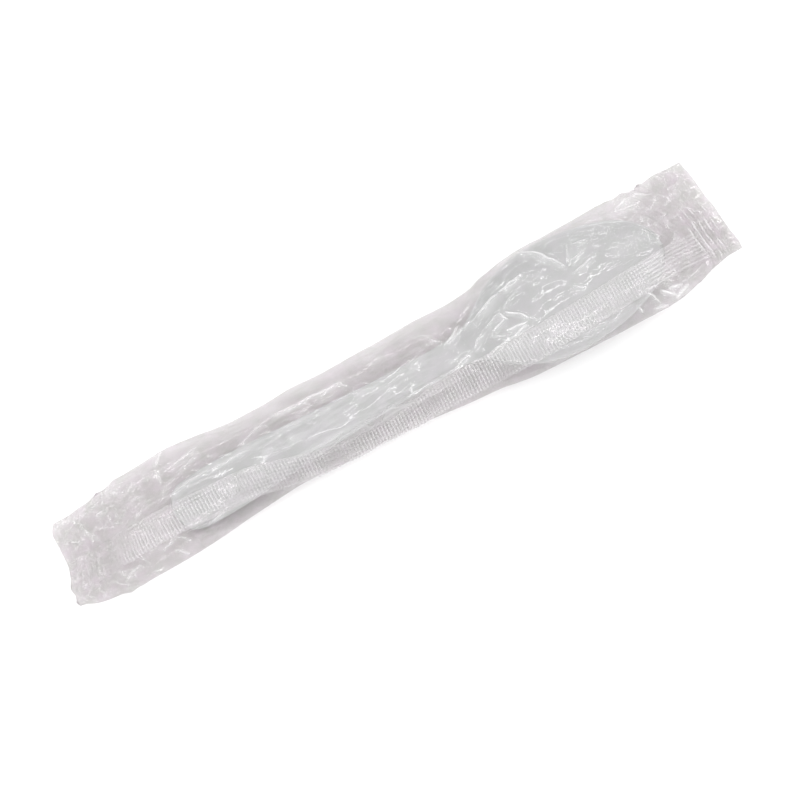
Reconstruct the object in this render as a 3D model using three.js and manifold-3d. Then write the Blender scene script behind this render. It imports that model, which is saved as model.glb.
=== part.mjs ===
// A wrapped disposable spoon: one moulded plastic spoon inside a flow-wrap bag of clear film.
// Millimetres, +Z up. X runs along the pack towards the spoon's bowl, and the pack lies on z = 0.
import * as THREE from "three";
import { mergeVertices } from "three/addons/utils/BufferGeometryUtils.js";
import Module from "manifold-3d";

const wasm = await Module();
wasm.setup();

// Driving dimensions of the film bag
const FILM = 0.08; // wall of the film
const PACK_HALF_LENGTH = 102.3;
const SEAL_Z = 2.2; // height of both end seals above the surface
const LEFT_SEAL_X = -93; // inner line of the handle end's seal
const RIGHT_SEAL_X = 92.5; // inner line of the bowl end's seal
const CRIMP_PITCH = 1.7; // from one crimp line to the next
const CRIMP_HEIGHT = 0.22; // of a crimp line above and below the seal
const CRIMP_LINES = 4;
const FIN_WIDTH = 8.5; // width of the back seal, laid flat on the bag
const FIN_GAP = 0.35; // between the laid-down back seal and the bag
const VENT_RADIUS = 0.35; // channel left open through the handle end's seal
const VENT_Y = 6.8;
const VENT_INTO_BAG = 7; // how far the channel runs on past the seal's inner line
const PUCKER_WALL = 0.18; // film round the channel
const PUCKER_INTO_BAG = 4;
const CUT_REACH_X = 70; // from here outwards the bag's stations lean over to follow the cut ends
const WAVE_HEIGHT = 0.5; // slow wave across the flat end seals
const WAVE_SPREAD = 3.2;
const WAVE_REACH = 4; // how far into the seal the wave grows
const UNDERSIDE_OVERRUN = 1.08; // takes the underside's curve past the surface, which flattens it there
const SMALLEST_DETAIL = 0.01; // anything finer that a cut leaves behind is smoothed away

// Driving dimensions of the spoon
const SPOON_WALL = 1.0;
const SPOON_HANDLE_END_X = -67.6;
const SPOON_TIP_X = 82.8;
const BOWL_WIDEST_X = 50;
const BOWL_HALF_WIDTH = 15.9;
const BOWL_DEPTH = 7.0;
const BOWL_START_X = 16; // where the neck starts to hollow out
const HANDLE_FLANGE_DROP = 1.7; // how far the handle's side flanges turn down
const SIDE_DRAFT = 0.3; // how much narrower the spoon's underside is on each side
const ENDS_ROUND_X = -61; // where the handle's rounded end begins
const END_CURVE = 2.1; // how the two ends are rounded: towards 2 they are round, above it squarer
const TIP_SQUARENESS = 2.3;
const HANDLE_SQUARENESS = 2.6;
const BOWL_CURVE = 2.3; // of the bowl across
const SPOON_TURN = THREE.MathUtils.degToRad(0.8);
const SPOON_CENTRE_Y = -0.3;

// A smooth curve through [x, value] points, flat outside them.
function through(points) {
  const slope = (a, b) => (points[b][1] - points[a][1]) / (points[b][0] - points[a][0]);
  const slopes = points.map((_, i) => {
    if (i === 0 || i === points.length - 1) return 0;
    const before = slope(i - 1, i);
    const after = slope(i, i + 1);
    return before * after <= 0 ? 0 : (2 * before * after) / (before + after);
  });
  return (x) => {
    if (x <= points[0][0]) return points[0][1];
    const next = points.findIndex((p) => p[0] >= x);
    if (next < 0) return points[points.length - 1][1];
    const [x0, v0] = points[next - 1];
    const [x1, v1] = points[next];
    const span = x1 - x0;
    const t = (x - x0) / span;
    const bend0 = span * slopes[next - 1] * t * (1 - t) ** 2;
    const bend1 = span * slopes[next] * t * t * (t - 1);
    return v0 + (v1 - v0) * t * t * (3 - 2 * t) + bend0 + bend1;
  };
}

// Evenly spaced numbers from a to b, both included.
function steps(a, b, count) {
  return Array.from({ length: count + 1 }, (_, i) => a + ((b - a) * i) / count);
}

// A closed body through closed loops of equal length. Each loop runs over the top and back along the
// underside, so each end is closed by joining its top points to the ones beneath them.
function loft(loops) {
  const around = loops[0].length;
  const last = (loops.length - 1) * around;
  const faces = [];
  const quad = (a, b, c, d) => faces.push(a, b, c, a, c, d);
  for (let i = 0; i < loops.length - 1; i++)
    for (let j = 0; j < around; j++) {
      const a = i * around + j;
      const b = i * around + ((j + 1) % around);
      quad(a, b, b + around, a + around);
    }
  for (let j = 0; j < around / 2 - 1; j++) {
    const across = around - 1 - j;
    quad(across, across - 1, j + 1, j);
    quad(last + j, last + j + 1, last + across - 1, last + across);
  }
  const geometry = new THREE.BufferGeometry().setFromPoints(loops.flat());
  geometry.setIndex(faces);
  return geometry;
}

// Geometry to manifold-3d and back.
function solid(geometry) {
  const merged = mergeVertices(geometry, 1e-4);
  const mesh = new wasm.Mesh({
    numProp: 3,
    vertProperties: merged.attributes.position.array,
    triVerts: new Uint32Array(merged.index.array),
  });
  return new wasm.Manifold(mesh);
}

function geometryOf(made) {
  const { vertProperties, triVerts } = made.getMesh();
  const geometry = new THREE.BufferGeometry();
  geometry.setAttribute("position", new THREE.BufferAttribute(vertProperties, 3));
  geometry.setIndex(new THREE.BufferAttribute(triVerts, 1));
  geometry.computeVertexNormals();
  return geometry;
}

// The bag in plan: its two long edges, and how far each cut end leads or lags across the width.
const upperEdge = through([
  [-98, 12.5], [-94, 13.0], [-89, 12.4], [-80, 13.7], [-62, 15.0], [-48, 13.4], [-38, 12.7],
  [-24, 13.2], [0, 13.0], [24, 12.8], [36, 14.5], [48, 16.1], [66, 16.1], [82, 16.5], [91, 17.6],
  [99, 17.6],
]);
const lowerEdge = through([
  [-102, -11.6], [-96, -13.3], [-86, -14.1], [-70, -14.2], [-57, -13.3], [-44, -12.1], [-31, -11.2],
  [-16, -11.9], [0, -12.3], [17, -13.8], [28, -14.8], [35, -16.0], [50, -16.6], [66, -16.9],
  [76, -16.8], [84, -15.6], [92, -13.1], [99, -11.7],
]);
const leftCut = through([
  [-11.4, -101.6], [-6.6, -101.8], [-3.7, -100.3], [0, -99.4], [8, -99.2], [13, -96.2],
]);
const rightCut = through([
  [-12, 103.0], [-9.5, 103.2], [-4.8, 102.6], [1.7, 102.0], [13, 100.8], [17.6, 99.9],
]);

// The bag in side view: its crest, its widest height and its underside.
const crest = through([
  [LEFT_SEAL_X, SEAL_Z + FILM], [-86, 5.6], [-76, 7.9], [-60, 9.4], [-40, 11.1], [-15, 12.1], [10, 12.3],
  [30, 12.0], [50, 11.6], [66, 11.2], [78, 10.4], [83.5, 9.4], [88, 5.6], [RIGHT_SEAL_X, SEAL_Z + FILM],
]);
const widest = through([
  [LEFT_SEAL_X, SEAL_Z], [-80, 3.4], [-30, 3.8], [0, 4.0], [22, 5.2], [34, 7.0], [50, 7.7], [68, 7.6],
  [78, 6.2], [88, 3.2], [RIGHT_SEAL_X, SEAL_Z],
]);
const underside = through([
  [LEFT_SEAL_X, SEAL_Z - FILM], [-86, 0.5], [-78, 0], [72, 0], [84, 0.5], [RIGHT_SEAL_X, SEAL_Z - FILM],
]);
// How full the top of the section is: low is a tent over the handle, high is a drum over the bowl.
const fullness = through([
  [LEFT_SEAL_X, 3], [-80, 2.2], [-50, 1.7], [10, 1.7], [30, 2.4], [42, 3.2], [90, 3.2],
]);

// Ripple of the flat end seals: crimp lines, on a slow wave across the width.
function sealRipple(x, y) {
  const inLeft = LEFT_SEAL_X - x;
  const inRight = x - RIGHT_SEAL_X;
  const into = Math.max(inLeft, inRight);
  if (into <= 0) return 0;
  const crimped = into < CRIMP_PITCH * CRIMP_LINES;
  const crimp = crimped ? CRIMP_HEIGHT * Math.sin((2 * Math.PI * into) / CRIMP_PITCH) : 0;
  const fromMiddle = y - (inLeft > 0 ? VENT_Y : 0);
  return crimp + WAVE_HEIGHT * Math.min(into / WAVE_REACH, 1) * Math.sin(fromMiddle / WAVE_SPREAD);
}

// Where a station of the bag lies at height y: near the ends it follows the cut.
function stationX(x, y) {
  const left = THREE.MathUtils.smoothstep(-x, CUT_REACH_X, PACK_HALF_LENGTH);
  const right = THREE.MathUtils.smoothstep(x, CUT_REACH_X, PACK_HALF_LENGTH);
  return x + left * (leftCut(y) + PACK_HALF_LENGTH) + right * (rightCut(y) - PACK_HALF_LENGTH);
}

// Height of the bag's top over a point, with the wall taken off for the inside.
function topAt(x, y, inset = 0) {
  const upper = upperEdge(x) - inset;
  const lower = lowerEdge(x) + inset;
  const across = Math.min(Math.abs((2 * y - upper - lower) / (upper - lower)), 1);
  const power = fullness(x);
  const rise = crest(x) - inset - widest(x);
  return widest(x) + rise * (1 - across ** power) ** (1 / power) + sealRipple(x, y);
}

// A section of the bag at x, as a closed loop; inset draws the inside of the film.
function bagSection(x, inset) {
  const POINTS = 28;
  const BOTTOM_POWER = 2.6;
  const upper = upperEdge(x) - inset;
  const lower = lowerEdge(x) + inset;
  return Array.from({ length: POINTS }, (_, j) => {
    const turn = ((j + 0.5) / POINTS) * 2 * Math.PI;
    const onTop = Math.sin(turn) > 0;
    const power = onTop ? fullness(x) : BOTTOM_POWER;
    const across = Math.sign(Math.cos(turn)) * Math.abs(Math.cos(turn)) ** (2 / power);
    const y = (upper + lower) / 2 + (across * (upper - lower)) / 2;
    const share = Math.abs(Math.sin(turn)) ** (2 / power);
    const floor = underside(x) + inset;
    const drop = UNDERSIDE_OVERRUN * (widest(x) - floor);
    const z = onTop
      ? widest(x) + (crest(x) - inset - widest(x)) * share
      : Math.max(floor, widest(x) - drop * share);
    return new THREE.Vector3(stationX(x, y), y, z + sealRipple(x, y));
  });
}

// The back seal: both edges of the film sealed face to face and laid over onto the bag.
const finRoot = through([
  [-102, 0.4], [-86, 0.8], [-71, 1.4], [-57, 0.9], [-47, 0.6], [-35, -1.5], [-20, -4.2], [-5, -5.3],
  [8, -4.9], [20, -4.3], [34, -3.4], [51, -2.7], [63, -2.1], [80, -1.4], [102, -1.0],
]);
function finSection(x) {
  const ACROSS = 6;
  const SLOPE_STEP = 0.5;
  const pressed = x < LEFT_SEAL_X || x > RIGHT_SEAL_X;
  const gap = pressed ? FILM : FIN_GAP;
  const upright = [];
  let y = finRoot(x);
  for (let k = 0; k <= ACROSS; k++) {
    const lift = k === 0 ? -FILM / 2 : gap;
    upright.push(new THREE.Vector3(x, y, topAt(x, y) + lift));
    const slope = (topAt(x, y) - topAt(x, y - SLOPE_STEP)) / SLOPE_STEP;
    y -= FIN_WIDTH / ACROSS / Math.hypot(1, slope);
  }
  const place = (p, rise) => new THREE.Vector3(stationX(x, p.y), p.y, p.z + rise);
  const under = upright.map((p) => place(p, 0));
  const over = upright.map((p) => place(p, 2 * FILM)).reverse();
  return [...under, ...over].reverse();
}

// Stations along the bag: close together in the crimps and near the ends.
const crimpSteps = 3 * CRIMP_LINES;
const crimpLength = CRIMP_PITCH * CRIMP_LINES;
const stations = [
  -PACK_HALF_LENGTH,
  ...steps(LEFT_SEAL_X - crimpLength, LEFT_SEAL_X, crimpSteps),
  ...steps(-91, -73, 6),
  ...steps(-65, 71, 17),
  ...steps(75, 91, 6),
  ...steps(RIGHT_SEAL_X, RIGHT_SEAL_X + crimpLength, crimpSteps),
  PACK_HALF_LENGTH,
];

function filmWrapper() {
  const outside = solid(loft(stations.map((x) => bagSection(x, 0))));
  const hollow = stations.filter((x) => x > LEFT_SEAL_X && x < RIGHT_SEAL_X);
  const inside = solid(loft(hollow.map((x) => bagSection(x, FILM))));
  const fin = solid(loft(stations.map(finSection)));
  const vent = (radius, from, to) => {
    const tube = new THREE.CylinderGeometry(radius, radius, to - from, 12);
    tube.deleteAttribute("normal");
    tube.deleteAttribute("uv");
    tube.rotateZ(Math.PI / 2);
    tube.translate((from + to) / 2, VENT_Y, SEAL_Z);
    return solid(tube);
  };
  const channel = vent(VENT_RADIUS, -PACK_HALF_LENGTH - 2, LEFT_SEAL_X + VENT_INTO_BAG);
  const pucker = vent(VENT_RADIUS + PUCKER_WALL, leftCut(VENT_Y) + 0.4, LEFT_SEAL_X + PUCKER_INTO_BAG);
  const bag = outside.add(fin).add(pucker).subtract(inside).subtract(channel);
  return geometryOf(bag.simplify(SMALLEST_DETAIL));
}

// Half the spoon's width: handle, neck and bowl, with a rounded end and tip.
const spoonSide = through([
  [-61, 7.1], [-54, 7.4], [-40, 6.7], [-20, 5.4], [0, 4.4], [13, 4.1], [21, 4.2], [26, 5.7],
  [30, 8.8], [34, 11.6], [39, 13.8], [44, 15.2], [BOWL_WIDEST_X, BOWL_HALF_WIDTH],
]);
function spoonHalfWidth(x) {
  const rounded = (share, power) => (1 - Math.min(share, 1) ** END_CURVE) ** (1 / power);
  const intoTip = (x - BOWL_WIDEST_X) / (SPOON_TIP_X - BOWL_WIDEST_X);
  const intoHandleEnd = (ENDS_ROUND_X - x) / (ENDS_ROUND_X - SPOON_HANDLE_END_X);
  if (intoTip > 0) return BOWL_HALF_WIDTH * rounded(intoTip, TIP_SQUARENESS);
  if (intoHandleEnd > 0) return spoonSide(x) * rounded(intoHandleEnd, HANDLE_SQUARENESS);
  return spoonSide(x);
}

// Height of the rim and of the handle's ridge, and how deep the bowl is below the rim.
const ridge = through([
  [SPOON_HANDLE_END_X, 3.6], [-50, 6.2], [-30, 8.4], [-10, 9.5], [10, 9.8], [20, 9.6],
  [34, 8.9], [50, 8.4], [66, 8.0], [SPOON_TIP_X, 8.1],
]);
function bowlDepth(x) {
  const towardsTip = (x - BOWL_WIDEST_X) / (SPOON_TIP_X - BOWL_WIDEST_X);
  const towardsNeck = (BOWL_WIDEST_X - x) / (BOWL_WIDEST_X - BOWL_START_X);
  const share = Math.min(Math.max(towardsTip, towardsNeck), 1);
  return BOWL_DEPTH * (1 - share ** 2.2) ** (x > BOWL_WIDEST_X ? 0.8 : 1.3);
}

// Height of the spoon's upper face, across being 0 on the axis and 1 at the edge.
function spoonTop(x, across) {
  const flange = HANDLE_FLANGE_DROP * (1 - THREE.MathUtils.smoothstep(x, -4, BOWL_START_X + 8));
  const turnedDown = flange * THREE.MathUtils.smoothstep(across, 0.45, 1.05);
  return ridge(x) - bowlDepth(x) * (1 - across ** BOWL_CURVE) - turnedDown;
}

function spoon() {
  const ACROSS = 12;
  const tipStations = steps(0, Math.PI / 2, 9).map((a) => Math.sin(a));
  const xs = [
    ...tipStations.map((s) => ENDS_ROUND_X - (ENDS_ROUND_X - SPOON_HANDLE_END_X) * s * 0.985).reverse(),
    ...steps(-54, 8, 9),
    ...steps(13, 46, 9),
    ...tipStations.map((s) => BOWL_WIDEST_X + (SPOON_TIP_X - BOWL_WIDEST_X) * s * 0.99),
  ];
  const section = (x) => {
    const half = spoonHalfWidth(x);
    const shares = steps(1, -1, ACROSS).map((s) => Math.sign(s) * Math.abs(s) ** 0.85);
    const upper = shares.map((s) => new THREE.Vector3(x, s * half, spoonTop(x, Math.abs(s))));
    const lower = upper.map((p) => new THREE.Vector3(x, p.y * (1 - SIDE_DRAFT / half), p.z - SPOON_WALL));
    return [...upper, ...lower.reverse()];
  };
  return geometryOf(solid(loft(xs.map(section))));
}

const clearFilm = new THREE.MeshStandardMaterial({
  name: "clear_film",
  color: new THREE.Color(0.84, 0.82, 0.83),
  roughness: 0.12,
  metalness: 0,
  transparent: true,
  opacity: 0.35,
  side: THREE.DoubleSide,
});
const whitePlastic = new THREE.MeshStandardMaterial({
  name: "white_plastic",
  color: new THREE.Color(0.86, 0.87, 0.87),
  roughness: 0.38,
  metalness: 0,
});

const wrapperMesh = new THREE.Mesh(filmWrapper(), clearFilm);
wrapperMesh.name = "film_wrapper";

const spoonMesh = new THREE.Mesh(spoon(), whitePlastic);
spoonMesh.name = "spoon";
spoonMesh.rotation.z = SPOON_TURN;
spoonMesh.position.y = SPOON_CENTRE_Y - BOWL_WIDEST_X * Math.sin(SPOON_TURN);

const pack = new THREE.Group();
pack.name = "wrapped_spoon";
pack.add(wrapperMesh, spoonMesh);

export default pack;
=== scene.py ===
import math

import bpy
import numpy as np
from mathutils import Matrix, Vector


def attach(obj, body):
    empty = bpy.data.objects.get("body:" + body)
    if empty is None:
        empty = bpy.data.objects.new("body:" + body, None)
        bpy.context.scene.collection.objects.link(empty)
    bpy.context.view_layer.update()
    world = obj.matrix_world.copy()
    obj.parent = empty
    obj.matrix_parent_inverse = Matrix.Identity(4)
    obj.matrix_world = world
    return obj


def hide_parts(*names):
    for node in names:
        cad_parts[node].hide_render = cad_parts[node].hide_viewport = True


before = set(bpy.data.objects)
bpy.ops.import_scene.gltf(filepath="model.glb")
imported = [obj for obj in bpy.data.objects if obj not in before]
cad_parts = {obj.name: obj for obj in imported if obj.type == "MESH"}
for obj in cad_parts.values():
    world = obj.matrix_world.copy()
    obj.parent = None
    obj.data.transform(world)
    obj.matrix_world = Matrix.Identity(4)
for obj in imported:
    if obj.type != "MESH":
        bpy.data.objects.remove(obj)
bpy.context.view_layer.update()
bpy.ops.object.select_all(action="DESELECT")

MM = 0.001  # every size below is in millimetres and is turned into metres as it is used


# ---- Camera ----
# Looks almost straight down on the pack, from the side that the back seal is laid over to, so that
# the pack runs from the lower left to the upper right of the picture.
VIEW_AZIMUTH = math.radians(-28.8)
VIEW_ELEVATION = math.radians(80)
VIEW_DISTANCE = 0.9
VIEW_WIDTH = 216.8 * MM  # what the picture's width takes in at the pack
PACK_OFF_CENTRE = (-2.3 * MM, 3.1 * MM)  # where the pack's middle lies, right and up of the picture's
PACK_MIDDLE = Vector((0, 0, 4 * MM))

look_across = Vector((-math.sin(VIEW_AZIMUTH), math.cos(VIEW_AZIMUTH), 0))
to_camera = Vector((0, 0, math.sin(VIEW_ELEVATION))) - look_across * math.cos(VIEW_ELEVATION)
picture_right = Vector((math.cos(VIEW_AZIMUTH), math.sin(VIEW_AZIMUTH), 0))
picture_up = to_camera.cross(picture_right)
aim = PACK_MIDDLE - picture_right * PACK_OFF_CENTRE[0] - picture_up * PACK_OFF_CENTRE[1]
bpy.ops.object.camera_add(location=aim + to_camera * VIEW_DISTANCE)
camera = bpy.context.object
camera.rotation_euler = (-to_camera).to_track_quat("-Z", "Y").to_euler()
camera.data.sensor_width = 36
camera.data.lens = 36 * VIEW_DISTANCE / VIEW_WIDTH
camera.data.clip_start = 0.01
bpy.context.scene.camera = camera


# ---- Spoon ----
# One injection moulding in white polypropylene: a bowl with a narrow flat rim, a neck, and a handle
# whose sides turn down as stiffening flanges. It lies loose in the film with its bowl facing up.
SPOON_WALL = 1.0
HANDLE_END_X = -67.6
SPOON_TIP_X = 82.8
HANDLE_ROUND_X = -61  # where the handle's rounded end begins
BOWL_WIDEST_X = 50
BOWL_HALF_WIDTH = 15.9
BOWL_DEPTH = 7.0
BOWL_START_X = 16  # where the neck starts to hollow out
FLANGE_DROP = 1.7
SPOON_TURN = math.radians(0.8)
SPOON_SIDE_STEP = -1.0  # how far the spoon's axis passes from the pack's middle
RIM_START = 0.955  # where the bowl's flat rim begins, from 0 on the axis to 1 at the edge
PANEL_DEPTH = 0.25  # of the shallow panel along the handle's middle
END_CURVE = 2.1  # how the two ends are rounded: 2 is round, and more is squarer
TIP_SQUARENESS = 2.3
HANDLE_SQUARENESS = 2.6
BOWL_CURVE = 2.3  # how flat the bowl's floor is across: 2 is a parabola, and more is flatter
SPOON_ALONG = 150
SPOON_ACROSS = 36


def through(points):
    """A smooth curve through (x, value) points that never overshoots them, and is level outside them."""
    xs, values = np.array(points, float).T
    slopes = np.diff(values) / np.diff(xs)
    turns = np.zeros(len(xs))
    same_way = slopes[:-1] * slopes[1:] > 0
    mean = 2 * slopes[:-1] * slopes[1:] / np.where(same_way, slopes[:-1] + slopes[1:], 1)
    turns[1:-1] = np.where(same_way, mean, 0)

    def curve(x):
        x = np.clip(x, xs[0], xs[-1])
        i = np.clip(np.searchsorted(xs, x) - 1, 0, len(xs) - 2)
        span = xs[i + 1] - xs[i]
        t = (x - xs[i]) / span
        bend = span * (turns[i] * t * (1 - t) ** 2 + turns[i + 1] * t * t * (t - 1))
        return values[i] + (values[i + 1] - values[i]) * t * t * (3 - 2 * t) + bend

    return curve


def ease(x, start, end):
    """0 at start, 1 at end, with a soft beginning and finish."""
    t = np.clip((x - start) / (end - start), 0, 1)
    return t * t * (3 - 2 * t)


handle_side = through([
    (-61, 7.1), (-54, 7.4), (-40, 6.7), (-20, 5.4), (0, 4.4), (13, 4.1), (21, 4.2), (26, 5.7),
    (30, 8.8), (34, 11.6), (39, 13.8), (44, 15.2), (BOWL_WIDEST_X, BOWL_HALF_WIDTH),
])
spoon_ridge = through([
    (HANDLE_END_X, 3.6), (-50, 6.2), (-30, 8.4), (-10, 9.5), (10, 9.8), (20, 9.6),
    (34, 8.9), (50, 8.4), (66, 8.0), (SPOON_TIP_X, 8.1),
])


def spoon_half_width(x):
    tip = np.clip((x - BOWL_WIDEST_X) / (SPOON_TIP_X - BOWL_WIDEST_X), 0, 1)
    end = np.clip((HANDLE_ROUND_X - x) / (HANDLE_ROUND_X - HANDLE_END_X), 0, 1)
    tip_share = (1 - tip**END_CURVE) ** (1 / TIP_SQUARENESS)
    return handle_side(x) * tip_share * (1 - end**END_CURVE) ** (1 / HANDLE_SQUARENESS)


def spoon_top(x, across):
    """Height of the spoon's upper face; across is 0 on its axis and 1 at its edge."""
    tip = (x - BOWL_WIDEST_X) / (SPOON_TIP_X - BOWL_WIDEST_X)
    neck = (BOWL_WIDEST_X - x) / (BOWL_WIDEST_X - BOWL_START_X)
    share = np.clip(np.maximum(tip, neck), 0, 1)
    depth = BOWL_DEPTH * (1 - share**2.2) ** np.where(x > BOWL_WIDEST_X, 0.8, 1.3)
    inside_rim = np.clip(across / RIM_START, 0, 1)
    flange = FLANGE_DROP * (1 - ease(x, -4, BOWL_START_X + 8))
    panel = PANEL_DEPTH * (1 - ease(across, 0.5, 0.62)) * (1 - ease(x, 0, 14)) * ease(x, -62, -56)
    hollow = depth * (1 - inside_rim**BOWL_CURVE)
    return spoon_ridge(x) - hollow - flange * ease(across, 0.72, 0.98) - panel


def spoon_place(x, y):
    """A point of the spoon's own plan, turned to how the spoon lies in the pack."""
    turned_x = x * math.cos(SPOON_TURN) - y * math.sin(SPOON_TURN)
    return turned_x, x * math.sin(SPOON_TURN) + y * math.cos(SPOON_TURN) + SPOON_SIDE_STEP


def read_points(piece):
    points = np.empty(3 * len(piece.data.vertices))
    piece.data.vertices.foreach_get("co", points)
    return points.reshape(-1, 3)


def place_points(piece, x, y, z):
    piece.data.vertices.foreach_set("co", (np.stack([x, y, z], 1) * MM).ravel())
    piece.data.update()


def sheet_grid(name, along, across):
    """A flat grid, with where each point lies on it along and across, both from 0 to 1."""
    bpy.ops.mesh.primitive_grid_add(x_subdivisions=along, y_subdivisions=across, size=1)
    piece = bpy.context.object
    piece.name = name
    piece.data.name = name
    flat = read_points(piece) + 0.5
    return piece, flat[:, 0], flat[:, 1]


def finish_with(piece, kind, **settings):
    modifier = piece.modifiers.new(kind.title(), kind)
    for key, value in settings.items():
        setattr(modifier, key, value)
    bpy.context.view_layer.objects.active = piece
    bpy.ops.object.modifier_apply(modifier=modifier.name)


def round_spacing(share):
    """Turns even steps from 0 to 1 into steps that close up towards both ends."""
    closing_up = 0.82
    return share - closing_up * np.sin(2 * np.pi * share) / (2 * np.pi)


spoon, spoon_u, spoon_v = sheet_grid("white_spoon", SPOON_ALONG, SPOON_ACROSS)
END_GAP = 0.04  # keeps the first and last stations off the points where the width is nothing
spoon_length = SPOON_TIP_X - HANDLE_END_X - 2 * END_GAP
lengthwise = HANDLE_END_X + END_GAP + spoon_length * round_spacing(spoon_u)
crosswise = np.sin((spoon_v - 0.5) * np.pi) * 0.35 + (2 * spoon_v - 1) * 0.65
flat_y = crosswise * spoon_half_width(lengthwise)
spoon_x, spoon_y = spoon_place(lengthwise, flat_y)
place_points(spoon, spoon_x, spoon_y, spoon_top(lengthwise, np.abs(crosswise)))
finish_with(spoon, "SOLIDIFY", thickness=SPOON_WALL * MM, offset=-1)
finish_with(spoon, "BEVEL", width=0.3 * MM, segments=2, limit_method="ANGLE", angle_limit=math.radians(50))
bpy.ops.object.shade_smooth()


def new_material(name):
    material = bpy.data.materials.new(name)
    material.use_nodes = True
    material.node_tree.nodes.clear()
    return material, material.node_tree.nodes, material.node_tree.links


def moulded_white_plastic():
    material, nodes, links = new_material("moulded_white_plastic")
    out = nodes.new("ShaderNodeOutputMaterial")
    plastic = nodes.new("ShaderNodeBsdfPrincipled")
    plastic.inputs["Roughness"].default_value = 0.45
    plastic.inputs["IOR"].default_value = 1.49
    plastic.inputs["Subsurface Weight"].default_value = 0.25
    plastic.inputs["Subsurface Radius"].default_value = (1.0, 1.0, 1.0)
    plastic.inputs["Subsurface Scale"].default_value = 1.2 * MM
    where = nodes.new("ShaderNodeTexCoord")
    cloud = nodes.new("ShaderNodeTexNoise")
    cloud.inputs["Scale"].default_value = 90
    cloud.inputs["Detail"].default_value = 3
    tone = nodes.new("ShaderNodeValToRGB")
    tone.color_ramp.elements[0].position = 0.3
    tone.color_ramp.elements[0].color = (0.605, 0.621, 0.619, 1)
    tone.color_ramp.elements[1].position = 0.7
    tone.color_ramp.elements[1].color = (0.634, 0.654, 0.649, 1)
    grain = nodes.new("ShaderNodeTexNoise")
    grain.inputs["Scale"].default_value = 2500
    bump = nodes.new("ShaderNodeBump")
    bump.inputs["Strength"].default_value = 0.15
    bump.inputs["Distance"].default_value = 0.02 * MM
    links.new(where.outputs["Object"], cloud.inputs["Vector"])
    links.new(where.outputs["Object"], grain.inputs["Vector"])
    links.new(cloud.outputs["Fac"], tone.inputs["Fac"])
    links.new(tone.outputs["Color"], plastic.inputs["Base Color"])
    links.new(grain.outputs["Fac"], bump.inputs["Height"])
    links.new(bump.outputs["Normal"], plastic.inputs["Normal"])
    links.new(plastic.outputs["BSDF"], out.inputs["Surface"])
    return material


spoon.data.materials.append(moulded_white_plastic())
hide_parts("spoon")
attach(spoon, "root")


# ---- Bag of film ----
# One sheet of clear film, wrapped round the spoon as a tube and pressed flat and crimped at both
# ends. It is a little too big for the spoon, so it stands off it, puckers at the seals and creases.
SEAL_Z = 2.2
LEFT_SEAL_X = -93.0
RIGHT_SEAL_X = 92.5
BAG_HALF_LENGTH = 102.3
CUT_REACH_X = 70  # from here outwards the film leans over to follow its cut ends
CRIMP_PITCH = 1.7
CRIMP_HEIGHT = 0.28
CRIMP_LINES = 4.5
FILM_CLEARANCE = 0.25  # between the film and the spoon where the film lies over it
DRAPE_CLEARANCE = 0.6  # the same before the film is creased
DRAPE_PASSES = 70
BOTTOM_POWER = 2.6  # how square the bag's lower corners are
UNDERSIDE_OVERRUN = 1.08  # the lower curve is drawn this much too deep, and the underside cuts it flat
RIM_HAZE_AND_LIGHT_PAINT = 0.33  # how white the film turns where it is pressed on the bowl: partly its pressed haze, partly a painted highlight that lightens the bowl's rim and tip

upper_edge = through([
    (-98, 11.6), (-94, 12.2), (-90, 12.5), (-86, 12.9), (-80, 13.6), (-72, 14.4), (-62, 14.9),
    (-54, 14.3), (-47, 13.3), (-41, 12.8), (-32, 12.9), (-24, 13.3), (-14, 12.8), (0, 13.1),
    (12, 13.2), (24, 12.8), (30, 13.2), (37, 14.8), (43, 15.9), (50, 16.3), (60, 16.1), (72, 16.2),
    (82, 16.3), (88, 16.8), (91, 17.5), (94, 17.9), (99, 17.7),
])
lower_edge = through([
    (-102, -11.6), (-97, -13.2), (-91, -14.0), (-84, -14.1), (-70, -14.2), (-62, -13.8),
    (-52, -12.8), (-42, -11.9), (-31, -11.2), (-22, -11.7), (-6, -11.9), (6, -12.7), (17, -13.8),
    (26, -14.5), (31, -15.4), (36, -16.1), (50, -16.6), (66, -16.9), (75, -16.8), (82, -16.0),
    (88, -14.3), (94, -12.6), (99, -11.7),
])
left_cut = through([
    (-11.4, -101.5), (-10.2, -102.2), (-9.5, -101.2), (-6.6, -101.7), (-3.7, -100.3), (0.1, -99.4),
    (4.4, -99.2), (8.1, -99.3), (11.4, -97.8), (13.2, -95.9),
])
right_cut = through([
    (-12, 103.0), (-9.5, 103.2), (-4.8, 102.6), (1.7, 102.0), (6, 101.2), (13, 100.8), (17.6, 99.9),
])
crest = through([
    (LEFT_SEAL_X, SEAL_Z), (-86, 5.4), (-76, 7.6), (-60, 9.0), (-40, 10.7), (-15, 11.7),
    (10, 11.9), (30, 11.6), (50, 11.2), (66, 10.9), (78, 10.2), (83.5, 9.3), (88, 5.6),
    (RIGHT_SEAL_X, SEAL_Z),
])
widest = through([
    (LEFT_SEAL_X, SEAL_Z), (-80, 3.4), (-30, 3.8), (0, 4.0), (22, 5.2), (34, 7.0), (50, 7.7),
    (68, 7.6), (78, 6.2), (88, 3.2), (RIGHT_SEAL_X, SEAL_Z),
])
underside = through([
    (LEFT_SEAL_X, SEAL_Z), (-86, 0.5), (-78, 0), (72, 0), (84, 0.5), (RIGHT_SEAL_X, SEAL_Z),
])
fullness = through([
    (LEFT_SEAL_X, 3), (-80, 2.2), (-50, 1.7), (10, 1.7), (30, 2.4), (42, 3.2), (90, 3.2),
])
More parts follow.
